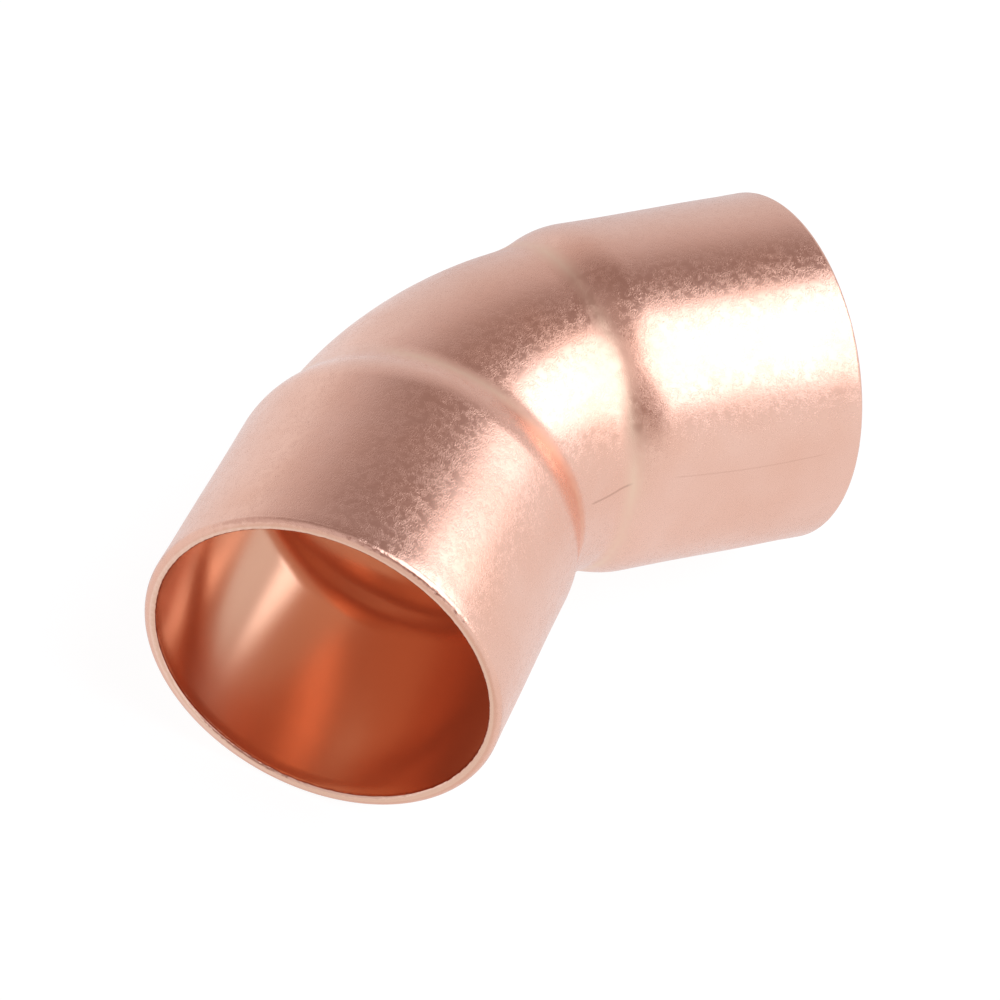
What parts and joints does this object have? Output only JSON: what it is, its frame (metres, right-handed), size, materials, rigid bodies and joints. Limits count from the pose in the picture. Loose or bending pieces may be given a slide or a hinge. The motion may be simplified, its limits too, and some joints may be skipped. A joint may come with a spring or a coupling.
{
  "type": "forty-five degree elbow",
  "caption": "Forty-five degree elbow of formed copper tube: a short smooth bend with a wider solder socket at each end, where a plumbing tube pushes in and is soldered.",
  "frame": {"origin": "centre of the mouth of socket_a, on that socket's axis", "axes": "+X along socket_a's axis out of its mouth, +Z square to the plane of the bend, and the bend turns towards +Y, so socket_b opens towards -X and +Y"},
  "size_m": [0.0635, 0.0477, 0.0304],
  "materials": {
    "copper": "satin bare copper, finely scratched outside and smooth and bright inside"
  },
  "bodies": {
    "root": {"elbow": "copper"}
  },
  "joints": []
}
